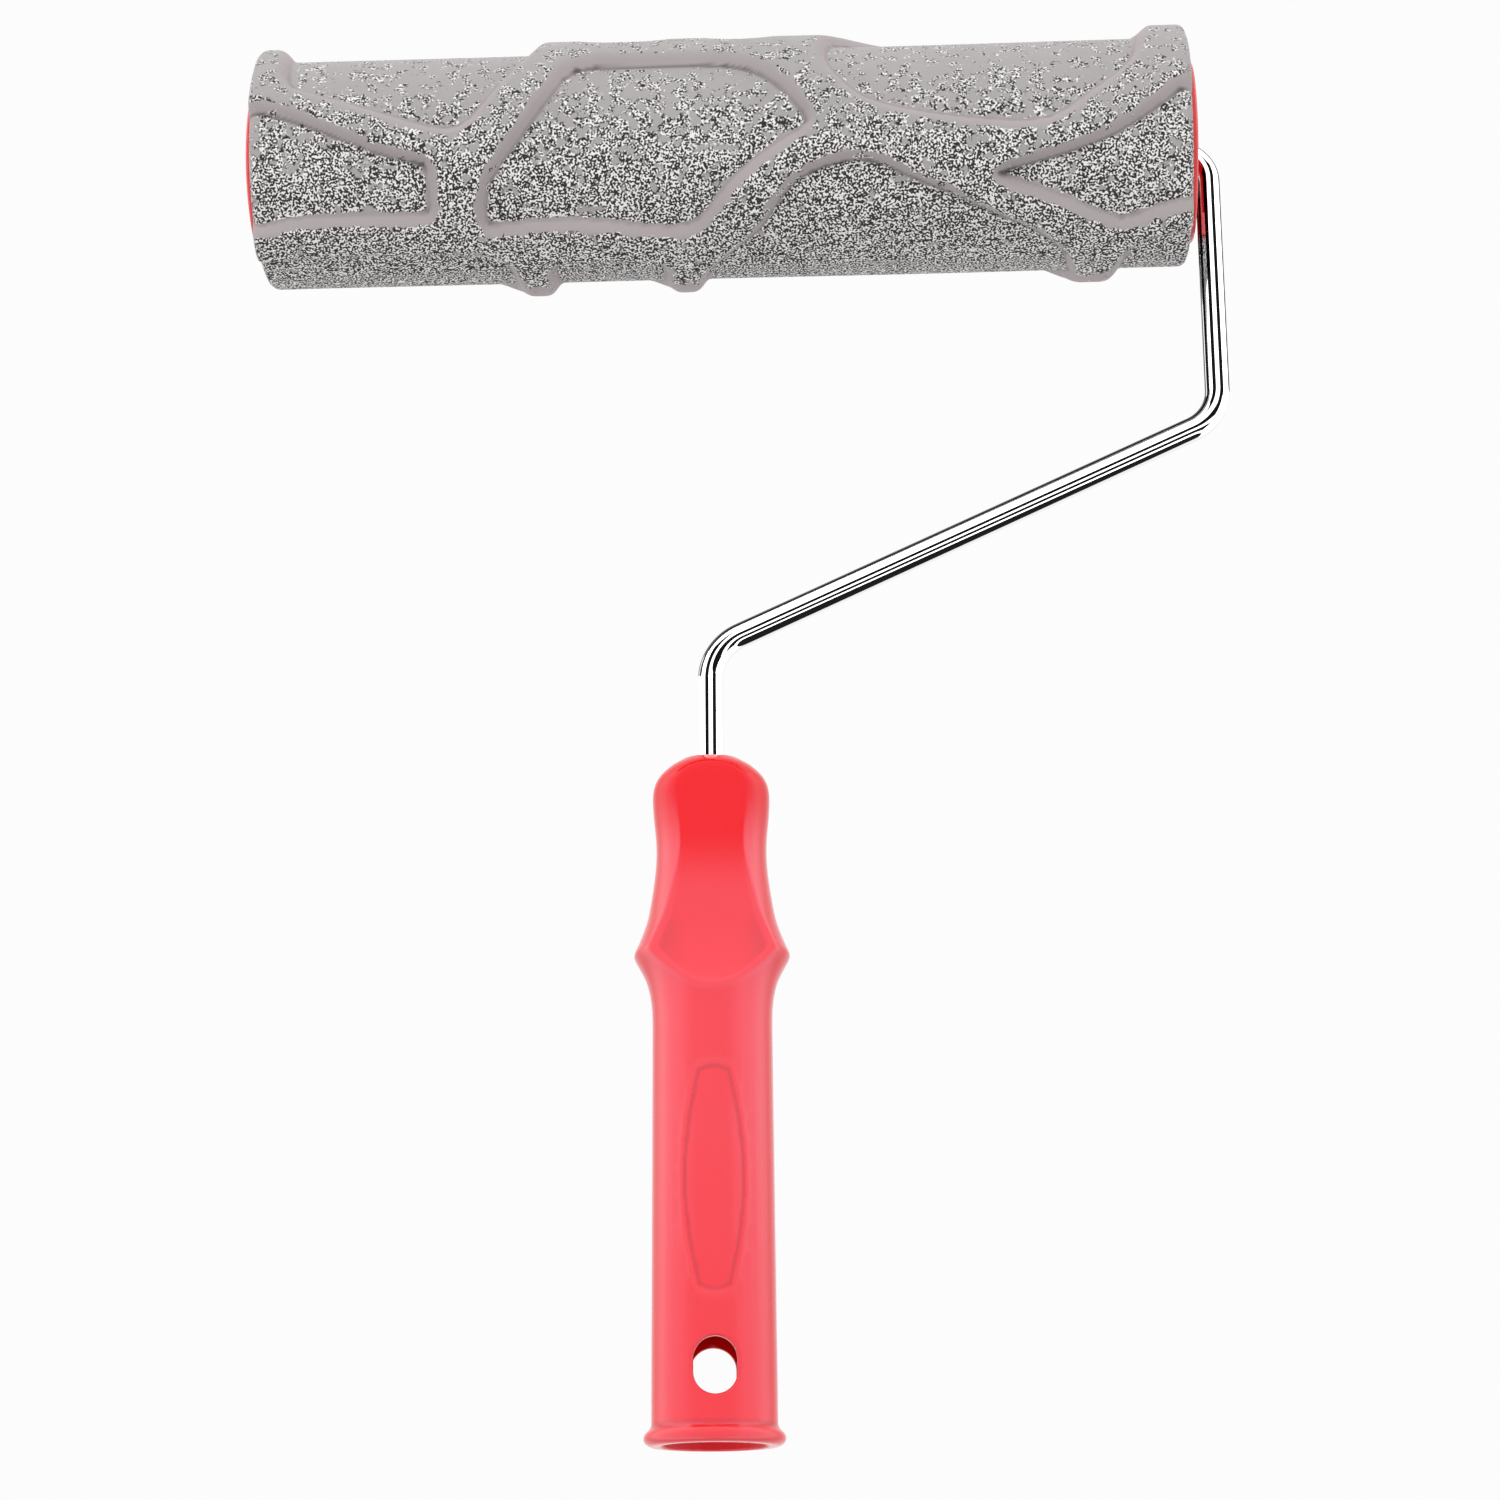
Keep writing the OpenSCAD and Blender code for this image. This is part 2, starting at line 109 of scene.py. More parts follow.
def gaussian_rows(field, step, sigma, axis, periodic, sloping=False):
    """The field blurred along one axis. Its ends wrap round, are mirrored, or carry on their slope."""
    if sigma <= 0:
        return field
    n = field.shape[axis]
    pad = 0 if periodic else min(n - 1, int(4 * sigma / step) + 1)
    if pad:
        before = np.flip(np.take(field, range(1, pad + 1), axis), axis)
        after = np.flip(np.take(field, range(n - pad - 1, n - 1), axis), axis)
        if sloping:
            before = 2 * np.take(field, [0], axis) - before
            after = 2 * np.take(field, [n - 1], axis) - after
        field = np.concatenate([before, field, after], axis)
    freq = np.fft.rfftfreq(field.shape[axis], step)
    gain = np.exp(-2 * (math.pi * freq * sigma) ** 2)
    shape = [1, 1]
    shape[axis] = len(gain)
    out = np.fft.irfft(np.fft.rfft(field, axis=axis) * gain.reshape(shape), field.shape[axis], axis)
    return np.take(out, range(pad, pad + n), axis) if pad else out


def mark(obj, name, values):
    """Stores a number from 0 to 1 on the first vertices of an object, for its material."""
    full = np.zeros(len(obj.data.vertices), dtype=np.float32)
    full[:len(values)] = np.clip(values, 0, 1)
    obj.data.attributes.new(name, "FLOAT", "POINT").data.foreach_set("value", full)


def recalculated(obj):
    """Turns every face of a closed mesh outwards."""
    bm = bmesh.new()
    bm.from_mesh(obj.data)
    bmesh.ops.recalc_face_normals(bm, faces=bm.faces)
    bm.to_mesh(obj.data)
    bm.free()
    obj.data.update()
    return obj


# ---------------------------------------------------------------- material helpers

class Nodes:
    """Short ways to add nodes to a node tree."""

    def __init__(self, tree):
        self.tree = tree

    def add(self, kind, **settings):
        node = self.tree.nodes.new(kind)
        for key, value in settings.items():
            setattr(node, key, value)
        return node

    def join(self, value, socket):
        """Feeds a socket from another socket, a number or a colour."""
        if isinstance(value, bpy.types.NodeSocket):
            self.tree.links.new(value, socket)
        elif value is not None:
            socket.default_value = (*value, 1.0) if isinstance(value, tuple) and len(value) == 3 else value

    def ramp(self, value, low, high, out_low=0.0, out_high=1.0):
        """A clamped straight line from (low, out_low) to (high, out_high)."""
        node = self.add("ShaderNodeMapRange", clamp=True)
        self.join(value, node.inputs["Value"])
        for key, number in (("From Min", low), ("From Max", high), ("To Min", out_low), ("To Max", out_high)):
            self.join(number, node.inputs[key])
        return node.outputs["Result"]

    def step(self, value, low, high):
        """A smooth step from 0 at low to 1 at high. It falls instead if low is above high."""
        node = self.add("ShaderNodeMapRange", interpolation_type="SMOOTHSTEP")
        self.join(value, node.inputs["Value"])
        self.join(min(low, high), node.inputs["From Min"])
        self.join(max(low, high), node.inputs["From Max"])
        self.join(0.0 if low < high else 1.0, node.inputs["To Min"])
        self.join(1.0 if low < high else 0.0, node.inputs["To Max"])
        return node.outputs["Result"]

    def maths(self, operation, a, b=None, clamp=False):
        node = self.add("ShaderNodeMath", operation=operation, use_clamp=clamp)
        self.join(a, node.inputs[0])
        self.join(b, node.inputs[1])
        return node.outputs["Value"]

    def mix(self, factor, a, b):
        node = self.add("ShaderNodeMix", data_type="RGBA")
        self.join(factor, node.inputs["Factor"])
        self.join(a, node.inputs[6])
        self.join(b, node.inputs[7])
        return node.outputs[2]

    def bump(self, height, strength, distance, below=None):
        node = self.add("ShaderNodeBump")
        self.join(height, node.inputs["Height"])
        node.inputs["Strength"].default_value = strength
        node.inputs["Distance"].default_value = distance
        if below is not None:
            self.join(below, node.inputs["Normal"])
        return node.outputs["Normal"]

    def attribute(self, name):
        return self.add("ShaderNodeAttribute", attribute_name=name).outputs["Fac"]

    def edge_wear(self, radius, low, high):
        """1 on worn convex edges, from the difference between the bevelled and the true normal."""
        bevel = self.add("ShaderNodeBevel", samples=4)
        bevel.inputs["Radius"].default_value = radius
        geometry = self.add("ShaderNodeNewGeometry")
        dot = self.add("ShaderNodeVectorMath", operation="DOT_PRODUCT")
        self.join(bevel.outputs["Normal"], dot.inputs[0])
        self.join(geometry.outputs["Normal"], dot.inputs[1])
        return self.ramp(dot.outputs["Value"], high, low)

    def up_facing(self):
        """The upward part of the surface normal, from -1 to 1."""
        geometry = self.add("ShaderNodeNewGeometry")
        split = self.add("ShaderNodeSeparateXYZ")
        self.join(geometry.outputs["Normal"], split.inputs[0])
        return split.outputs["Z"]

    def bearings(self, way):
        """The degrees round from the camera's side and up from the horizon of a split direction."""
        turned = self.maths("ARCTAN2", way.outputs["X"], self.maths("MULTIPLY", way.outputs["Y"], -1.0))
        up = self.maths("ARCSINE", way.outputs["Z"])
        return [self.maths("MULTIPLY", angle, 180 / math.pi) for angle in (turned, up)]

    def mirrored(self):
        """The bearings of the direction that a mirror here would show."""
        way = self.add("ShaderNodeSeparateXYZ")
        self.join(self.add("ShaderNodeTexCoord").outputs["Reflection"], way.inputs[0])
        return self.bearings(way)

    def between(self, value, low, high, soft):
        """1 between two values, falling to 0 over a soft edge outside them."""
        off = self.maths("ABSOLUTE", self.maths("SUBTRACT", value, (low + high) / 2))
        return self.step(off, (high - low) / 2 + soft, (high - low) / 2)


class Shader(Nodes):
    """A Principled material with its object coordinates at hand."""

    def __init__(self, name):
        self.material = bpy.data.materials.new(name)
        self.material.use_nodes = True
        super().__init__(self.material.node_tree)
        self.bsdf = self.tree.nodes["Principled BSDF"]
        self.place = self.add("ShaderNodeTexCoord").outputs["Object"]

    def noise(self, scale, detail=3.0, roughness=0.5, place=None):
        node = self.add("ShaderNodeTexNoise")
        self.join(place or self.place, node.inputs["Vector"])
        node.inputs["Scale"].default_value = scale
        node.inputs["Detail"].default_value = detail
        node.inputs["Roughness"].default_value = roughness
        return node.outputs["Fac"]

    def stretched(self, x, y, z):
        """Object coordinates scaled along each axis, for marks that run one way."""
        node = self.add("ShaderNodeMapping")
        self.join(self.place, node.inputs["Vector"])
        node.inputs["Scale"].default_value = (x, y, z)
        return node.outputs["Vector"]

    def finish(self, **inputs):
        """Feeds the Principled node's inputs and gives the material."""
        names = {"colour": "Base Color", "roughness": "Roughness", "metallic": "Metallic",
                 "normal": "Normal", "specular": "Specular IOR Level", "tint": "Specular Tint"}
        for key, value in inputs.items():
            self.join(value, self.bsdf.inputs[names[key]])
        return self.material


# ---------------------------------------------------------------- materials

GRAIN_SCALE = 2050.0
GRAIN_PATCHES = 330.0
GRAIN_CONTRAST = 40.0
PATCH_CONTRAST = 14.0
# painted shade: the grain covers more where the surface faces down, and less on the lit flanks
BARE_LEVEL, BARE_LESS_BELOW, BARE_MORE_ON_FLANKS = 0.51, 0.21, 0.32
DARK_LEVELS, PALE_LEVELS = (0.425, 0.500), (0.605, 0.548)    # noise levels where grain is sparse, and dense


def pattern_rubber():
    """Grey moulded rubber. A coarse black and pale grain, painted shade, covers it where it faces down and
    thins out into scattered specks where it faces up; it follows the world's up direction, not the roller.
    The ridges' flanks are smooth with a lighter, pinker painted highlight, and painted shade lines the
    creases at their feet."""
    s = Shader("pattern_rubber")
    lit_flank, crease_shade = s.attribute("lit_flank"), s.attribute("crease_shade")
    # painted shade: how far the surface faces down in the world, which sets the grain's coverage and density
    shade = s.ramp(s.up_facing(), 0.45, -0.75)
    tone = s.noise(34.0, 2.0)
    body = s.mix(tone, (0.370, 0.354, 0.350), (0.425, 0.406, 0.400))
    # painted highlight: the lit flanks are lighter and pinker than the rest
    flank_highlight_colour = s.mix(tone, (0.400, 0.352, 0.356), (0.455, 0.403, 0.408))
    body = s.mix(lit_flank, body, flank_highlight_colour)

    # painted shade: the black and pale grain grows denser where the surface faces down
    patches = s.noise(GRAIN_PATCHES, 2.0, 0.6)
    bare = s.maths("ADD", s.maths("SUBTRACT", BARE_LEVEL, s.maths("MULTIPLY", shade, BARE_LESS_BELOW)),
                   s.maths("MULTIPLY", lit_flank, BARE_MORE_ON_FLANKS))
    cover = s.maths("MULTIPLY", s.maths("SUBTRACT", patches, bare), PATCH_CONTRAST, clamp=True)
    grain = s.noise(GRAIN_SCALE, 0.0)
    dense = s.ramp(shade, 0.1, 0.75)
    dark_level, pale_level = [s.ramp(dense, 0.0, 1.0, *levels) for levels in (DARK_LEVELS, PALE_LEVELS)]
    dark = s.maths("MULTIPLY", s.maths("SUBTRACT", dark_level, grain), GRAIN_CONTRAST, clamp=True)
    pale = s.maths("MULTIPLY", s.maths("SUBTRACT", grain, pale_level), GRAIN_CONTRAST, clamp=True)
    body = s.mix(s.maths("MULTIPLY", dark, cover), body, (0.010, 0.009, 0.010))
    body = s.mix(s.maths("MULTIPLY", pale, cover), body, (0.90, 0.89, 0.88))
    # painted shade along the creases at the ridges' feet
    body = s.mix(s.maths("MULTIPLY", crease_shade, 0.80), body, (0.030, 0.026, 0.028))

    rough = s.ramp(s.noise(240.0, 3.0), 0.3, 0.7, 0.60, 0.76)
    soft = s.bump(s.noise(150.0, 3.0), 0.25, 0.0006)
    pits = s.bump(s.maths("MULTIPLY", grain, cover), 0.35, 0.0004, soft)
    return s.finish(colour=body, roughness=rough, normal=pits, specular=0.25)


# Painted shade in the handle's reflection, its gloss turned down on the head and more where it mirrors the
# studio's
# front: heights over which the dimness comes in on the head's front and on its sides, how far round the front
# reaches and its soft edge, in degrees, and how deep the dimness is. A weaker dimness grows again towards the
# handle's foot.
DIM_FRONT_FROM = (123.0 * MM, 139.0 * MM)
DIM_SIDES_FROM = (132.0 * MM, 149.0 * MM)
DIM_FRONT_REACH, DIM_FRONT_SOFT = 24.0, 8.0
DIM_DEPTH = 0.66
DIM_FOOT_FROM, DIM_FOOT_DEPTH = (80.0 * MM, 15.0 * MM), 0.20
# painted highlight along raised edges
EDGE_HIGHLIGHT = 0.16
# painted shade in grooves and inside the socket, with the gloss turned down inside
GROOVE_SHADE, INSIDE_SHADE, INSIDE_DIM = 0.34, 0.25, 0.8
HANDLE_GLOSS = 0.5


def handle_plastic():
    """Glossy red injection-moulded plastic with faint flow marks, orange peel and handling scuffs.
    It carries a painted highlight along its raised edges, and painted shade along its grooves and inside the
    socket.
    Its gloss is turned down as painted shade in its reflection on the head and towards the foot."""
    s = Shader("handle_plastic")
    flow = s.noise(14.0, 2.0, place=s.stretched(1.0, 1.0, 0.35))
    colour = s.mix(flow, (0.905, 0.007, 0.009), (0.945, 0.011, 0.013))
    turned = s.mirrored()[0]
    height = s.add("ShaderNodeSeparateXYZ")
    s.join(s.place, height.inputs[0])
    front = s.between(turned, -DIM_FRONT_REACH, DIM_FRONT_REACH, DIM_FRONT_SOFT)
    sides_dim, front_dim = [s.step(height.outputs["Z"], *span) for span in (DIM_SIDES_FROM, DIM_FRONT_FROM)]
    front_more = s.maths("MULTIPLY", front, s.maths("SUBTRACT", front_dim, sides_dim))
    head_dim = s.maths("ADD", sides_dim, front_more)
    # painted highlight on raised edges, left off where the head's gloss is dimmed
    edge = s.maths("MULTIPLY", s.attribute("edge"), s.maths("SUBTRACT", 1.0, head_dim))
    colour = s.mix(s.maths("MULTIPLY", edge, EDGE_HIGHLIGHT), colour, (0.97, 0.10, 0.11))
    # painted shade in the grooves and inside the socket
    inside = s.attribute("inside")
    shaded = s.maths("MAXIMUM", s.maths("MULTIPLY", s.attribute("groove_shade"), GROOVE_SHADE),
                     s.maths("MULTIPLY", inside, INSIDE_SHADE))
    colour = s.mix(shaded, colour, (0.340, 0.002, 0.004))
    scuffs = s.ramp(s.noise(420.0, 4.0, 0.7, place=s.stretched(1.0, 1.0, 0.15)), 0.60, 0.75)
    rough = s.maths("ADD", s.ramp(s.noise(60.0, 3.0), 0.3, 0.7, 0.14, 0.18),
                    s.maths("MULTIPLY", scuffs, 0.05))
    peel = s.bump(s.noise(520.0, 2.0), 0.05, 0.0003)

    # painted shade in the reflection: the gloss dims towards the foot and inside the socket
    foot_dim = s.maths("MULTIPLY", s.step(height.outputs["Z"], *DIM_FOOT_FROM), DIM_FOOT_DEPTH)
    dim = s.maths("ADD", s.maths("MULTIPLY", head_dim, DIM_DEPTH), foot_dim)
    dim = s.maths("MAXIMUM", dim, s.maths("MULTIPLY", inside, INSIDE_DIM))
    gloss = s.maths("MULTIPLY", s.maths("SUBTRACT", 1.0, dim), HANDLE_GLOSS)
    return s.finish(colour=colour, roughness=rough, normal=peel, specular=gloss, tint=(0.80, 1.0, 1.28))


def cap_plastic():
    """The end caps' deeper red plastic, with a fine grain and slightly rubbed edges."""
    s = Shader("cap_plastic_fine")
    tone = s.noise(45.0, 2.0)
    colour = s.mix(tone, (0.70, 0.008, 0.012), (0.82, 0.016, 0.020))
    wear = s.edge_wear(0.0004, 0.9, 0.99)
    colour = s.mix(s.maths("MULTIPLY", wear, 0.3), colour, (0.95, 0.09, 0.09))
    rough = s.ramp(s.noise(180.0, 3.0), 0.3, 0.7, 0.24, 0.36)
    return s.finish(colour=colour, roughness=rough, normal=s.bump(s.noise(700.0, 2.0), 0.08, 0.0003),
                    specular=0.5)


def pale_plastic(name, dark, light, grain_scale):
    """Uncoloured moulded plastic for the tube, bushes and washers."""
    s = Shader(name)
    colour = s.mix(s.noise(60.0, 3.0), dark, light)
    rough = s.ramp(s.noise(grain_scale, 3.0), 0.3, 0.7, 0.38, 0.52)
    return s.finish(colour=colour, roughness=rough, specular=0.4,
                    normal=s.bump(s.noise(grain_scale * 2.0, 2.0), 0.10, 0.0003))


def clip_steel():
    """Bright spring steel with turning marks."""
    s = Shader("clip_steel_fine")
    marks = s.noise(900.0, 2.0, place=s.stretched(4.0, 1.0, 1.0))
    colour = s.mix(marks, (0.50, 0.50, 0.51), (0.66, 0.66, 0.67))
    rough = s.ramp(marks, 0.3, 0.7, 0.26, 0.42)
    return s.finish(colour=colour, roughness=rough, metallic=1.0, normal=s.bump(marks, 0.15, 0.0001))


# Painted reflections of dark parts of the studio, which the chrome shows as thin lines along the wire: from
# and to, in degrees round from the camera's side (right is positive) and up from the horizon
CHROME_DARKS = (
    ((-47.0, -15.0), (13.5, 40.0)),     # the left line on an upright wire
    ((22.0, 54.0), (13.5, 40.0)),       # the right line on an upright wire
    ((-8.0, 49.0), (-7.0, 14.0)),       # the middle line on the slanted wire
    ((-60.0, 60.0), (-37.5, -20.5)),    # the thin line below it
    ((-180.0, 180.0), (-90.0, -46.5)),  # the thick line near the slanted wire's underside
    ((-180.0, -130.0), (19.5, 35.0)),   # the left outline
    ((-180.0, -88.0), (35.0, 90.0)),    # the slanted wire's upper outline
    ((-118.0, -86.0), (19.5, 35.0)),    # the line beside the left outline
    ((115.0, 150.0), (19.5, 90.0)),     # the right outline
)
CHROME_DARK_SOFT = (1.5, 1.0)       # soft edges, round and up
# painted reflection: the chrome's colour is dimmer where it mirrors the studio's back
CHROME_DIM = ((-180.0, -118.0), (118.0, 180.0))     # the studio's dim back, from and to, round
CHROME_DIM_SOFT = 3.0


def wire_chrome():
    """Bright chromium plate with a very fine grain and a trace of haze. The studio's dark bands are painted
    reflections in its colour, set by mirrored direction, so that the handle does not mirror them too. Its
    colour is also dimmer, as painted reflection, where it mirrors the studio's back."""
    s = Shader("wire_chrome_fine")
    turned, up = s.mirrored()
    dark = 0.0
    for (left, right), (low, high) in CHROME_DARKS:
        inside = s.maths("MULTIPLY", s.between(turned, left, right, CHROME_DARK_SOFT[0]),
                         s.between(up, low, high, CHROME_DARK_SOFT[1]))
        dark = s.maths("MAXIMUM", dark, inside)
    dim = s.maths("ADD", *(s.between(turned, *span, CHROME_DIM_SOFT) for span in CHROME_DIM))
    haze = s.noise(90.0, 3.0)
    colour = s.mix(haze, (0.93, 0.93, 0.945), (0.975, 0.975, 0.98))
    # painted reflections: a dimmer colour towards the studio's back, and near-black dark bands
    colour = s.mix(s.maths("MULTIPLY", dim, 0.30), colour, (0.55, 0.55, 0.60))
    colour = s.mix(dark, colour, (0.004, 0.004, 0.004))
    rough = s.ramp(haze, 0.3, 0.75, 0.035, 0.075)
    marks = s.noise(1600.0, 2.0, 0.5)
    return s.finish(colour=colour, roughness=rough, metallic=1.0, normal=s.bump(marks, 0.02, 0.0001))


# ---------------------------------------------------------------- rubber sleeve

SLEEVE_STEP = 0.55 * MM
SLEEVE_COLUMNS = 352
SLEEVE_END_ROUND = 2.2 * MM
SLEEVE_BORE_ROUND = 0.4 * MM
SLEEVE_REACH = 5 * MM
BASE_PERCENTILE = 10
SLEEVE_BLUR = 0.62 * MM
CROWN_BLUR = 2.6 * MM
CROWN_SHARE = 0.18
CROWN_GAIN = 1.15
WAVE_LENGTHS = (17 * MM, 29 * MM)
WAVE_HEIGHT_MM = 0.05
PATTERN_MARGIN = 3.0 * MM

# Where the flanks' painted highlight and the creases' painted shade are marked. Angles are in degrees up from
# the camera's side.
FLANK_SLOPE = (0.30, 0.75)
# the flanks' painted highlight is weaker on downward-facing flanks low on the camera's side, and added on the
# underside's bumps
LOW_FROM, LOW_OVER, LOW_LESS = -20, 20, 0.55
UNDER_FROM, UNDER_TO, UNDER_SOFT = -88, -150, 10
# the creases' painted shade, stronger at downward-facing flanks
CREASE_BLUR, CREASE_FROM, CREASE_GAIN = 1.5 * SLEEVE_BLUR, 0.045, 36
CREASE_SHARE, CREASE_SHARE_BELOW = 0.35, 0.65


def sleeve_relief(xs, outward, ridge_r):
    """The radius between the CAD sleeve's ridges, and its relief from 0 there to 1 on the ridges."""
    lo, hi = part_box("pattern_sleeve")
    tree = node_tree(NODES["pattern_sleeve"])
    reach = ridge_r + SLEEVE_REACH
    radius = np.full((len(xs), SLEEVE_COLUMNS), ridge_r)
    for i, x in enumerate(xs):
        centre = Vector((min(max(x, lo.x + PATTERN_MARGIN), hi.x - PATTERN_MARGIN), 0.0, AXLE.z))
        for j, d in enumerate(outward):
            hit = tree.ray_cast(centre + d * reach, -d)[3]
            if hit is not None:
                radius[i, j] = reach - hit
    base_r = float(np.percentile(radius, BASE_PERCENTILE))
    return base_r, np.clip((radius - base_r) / (ridge_r - base_r), 0.0, 1.0)


def mark_sleeve(obj, angles, dx, ds, edge, crease_edge, ridge_h):
    """Marks the ridges' flanks for the rubber's painted highlight, and the creases at their feet for its
    painted shade.
    """
    upward = (np.roll(edge, -1, 1) - np.roll(edge, 1, 1)) / (2 * ds) * ridge_h
    slope = np.hypot(np.gradient(edge, dx, axis=0) * ridge_h, upward)
    lit_flank = (slope - FLANK_SLOPE[0]) / (FLANK_SLOPE[1] - FLANK_SLOPE[0])
    falling = np.clip(upward / np.maximum(slope, 0.05), 0, 1)
    turned = np.degrees((angles + math.pi) % (2 * math.pi) - math.pi)[None, :]
    low = np.clip((LOW_FROM - turned) / LOW_OVER, 0, 1)
    lit_flank = np.clip(lit_flank, 0, 1) * (1 - LOW_LESS * falling * low)
    under = (np.clip((UNDER_FROM - turned) / UNDER_SOFT, 0, 1)
             * np.clip((turned - UNDER_TO) / UNDER_SOFT, 0, 1))
    lit_flank = np.maximum(lit_flank, under * np.clip(2 * edge - 0.6, 0, 1))
    crease_shade = (crease_edge - edge - CREASE_FROM) * CREASE_GAIN * (CREASE_SHARE + CREASE_SHARE_BELOW * falling)
    mark(obj, "lit_flank", lit_flank.reshape(-1))
    mark(obj, "crease_shade", crease_shade.reshape(-1))


def pattern_sleeve(material):
    """The CAD sleeve's relief on a fine grid, with moulded shoulders and slightly crowned ridges."""
    lo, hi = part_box("pattern_sleeve")
    bore_r = (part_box("core_tube")[1].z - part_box("core_tube")[0].z) / 2
    ridge_r = (hi.z - lo.z) / 2
    rows = int(round((hi.x - lo.x) / SLEEVE_STEP)) + 1
    xs = np.linspace(lo.x, hi.x, rows)
    angles = np.arange(SLEEVE_COLUMNS) * 2 * math.pi / SLEEVE_COLUMNS
    outward = [Vector((0.0, -math.cos(a), math.sin(a))) for a in angles]
    base_r, relief = sleeve_relief(xs, outward, ridge_r)
    dx, ds = xs[1] - xs[0], 2 * math.pi * ridge_r / SLEEVE_COLUMNS

    def blurred(sigma):
        return gaussian_rows(gaussian_rows(relief, dx, sigma, 0, False), ds, sigma, 1, True)

    edge, crown = blurred(SLEEVE_BLUR), blurred(CROWN_BLUR)
    height = np.clip(edge, 0, 1) * (1 - CROWN_SHARE + CROWN_SHARE * np.clip(crown * CROWN_GAIN, 0, 1))
    waves = (np.sin(xs[:, None] / WAVE_LENGTHS[0] + 2 * np.sin(angles)[None, :])
             + np.sin(3 * angles[None, :] + xs[:, None] / WAVE_LENGTHS[1])) * WAVE_HEIGHT_MM * MM
    outer = base_r + (ridge_r - base_r) * height + waves
    outer = np.minimum(outer, ridge_r)

    end = np.minimum(xs - lo.x, hi.x - xs)
    inset = np.clip(SLEEVE_END_ROUND - end, 0, SLEEVE_END_ROUND)
    outer -= (SLEEVE_END_ROUND - np.sqrt(SLEEVE_END_ROUND ** 2 - inset ** 2))[:, None]

    directions = np.array([tuple(d) for d in outward])
    points = outer[:, :, None] * directions[None, :, :]
    points[:, :, 0] += xs[:, None]
    points[:, :, 2] += AXLE.z
    verts = [points.reshape(-1, 3)]
    middle_r = (bore_r + base_r) / 2
    rings = [(lo.x, middle_r), (lo.x, bore_r + SLEEVE_BORE_ROUND), (lo.x + SLEEVE_BORE_ROUND, bore_r),
             (hi.x - SLEEVE_BORE_ROUND, bore_r), (hi.x, bore_r + SLEEVE_BORE_ROUND), (hi.x, middle_r)]
    for x, r in rings:
        ring = r * directions
        ring[:, 0] += x
        ring[:, 2] += AXLE.z
        verts.append(ring)
    faces = grid_faces(rows, SLEEVE_COLUMNS)
    first_ring = rows * SLEEVE_COLUMNS
    faces += grid_faces(len(rings), SLEEVE_COLUMNS, first_ring)
    last, tail = (rows - 1) * SLEEVE_COLUMNS, first_ring + (len(rings) - 1) * SLEEVE_COLUMNS
    for j in range(SLEEVE_COLUMNS):
        k = (j + 1) % SLEEVE_COLUMNS
        faces.append((j, k, first_ring + k, first_ring + j))
        faces.append((last + j, last + k, tail + k, tail + j))
    obj = new_object("rubber_sleeve", np.concatenate(verts), faces, material)
    mark_sleeve(obj, angles, dx, ds, edge, blurred(CREASE_BLUR), ridge_r - base_r)
    return recalculated(obj)


# ---------------------------------------------------------------- frame wire

# Heights where the wire's straight parts would meet, at either end of the slanted part
UPPER_CORNER_Z = 240.7 * MM
LOWER_CORNER_Z = 185.4 * MM
ARM_GAP = 0.7 * MM      # between the inner end cap's face and the arm
WIRE_BENDS = (8 * MM, 11 * MM, 12 * MM)
WIRE_SIDES = 64
BEND_STEPS = 32
WIRE_CHAMFER = 0.8 * MM
WIRE_STEP = 5 * MM
WIRE_NEAR_BEND = (1.2 * MM, 3 * MM)


def wire_centre_line():
    """Points along the wire from its free end in the roller to its tang in the handle, as (x, z), with the
    wire's direction at each. Straights get points close to their ends, to keep the shading straight too."""
    lo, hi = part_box("frame_wire")
    wire_r = (hi.y - lo.y) / 2
    arm_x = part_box("inner_end_cap")[1].x + ARM_GAP + wire_r
    corners = [np.array(c) for c in ((lo.x, AXLE.z), (arm_x, AXLE.z), (arm_x, UPPER_CORNER_Z),
                                     (0.0, LOWER_CORNER_Z), (0.0, lo.z))]
    path, ways = [corners[0]], [np.array((1.0, 0.0))]

    def straight_to(end):
        start = path[-1]
        length = np.linalg.norm(end - start)
        way = (end - start) / length
        near, far = WIRE_NEAR_BEND
        middle = np.arange(far + WIRE_STEP, length - far - WIRE_STEP / 2, WIRE_STEP)
        for distance in (near, far, *middle, length - far, length - near, length):
            path.append(start + way * distance)
            ways.append(way)

    for i, bend in enumerate(WIRE_BENDS, 1):
        into = corners[i] - corners[i - 1]
        out = corners[i + 1] - corners[i]
        into, out = into / np.linalg.norm(into), out / np.linalg.norm(out)
        turn = math.atan2(into[0] * out[1] - into[1] * out[0], float(into @ out))
        side = np.array((-into[1], into[0])) * (1 if turn > 0 else -1)
        start = corners[i] - into * bend * math.tan(abs(turn) / 2)
        centre = start + side * bend
        straight_to(start)
        for k in range(1, BEND_STEPS + 1):
            a = abs(turn) * k / BEND_STEPS
            path.append(centre - side * bend * math.cos(a) + into * bend * math.sin(a))
            ways.append(into * math.cos(a) + side * math.sin(a))
    straight_to(corners[-1])
    return path, ways, wire_r


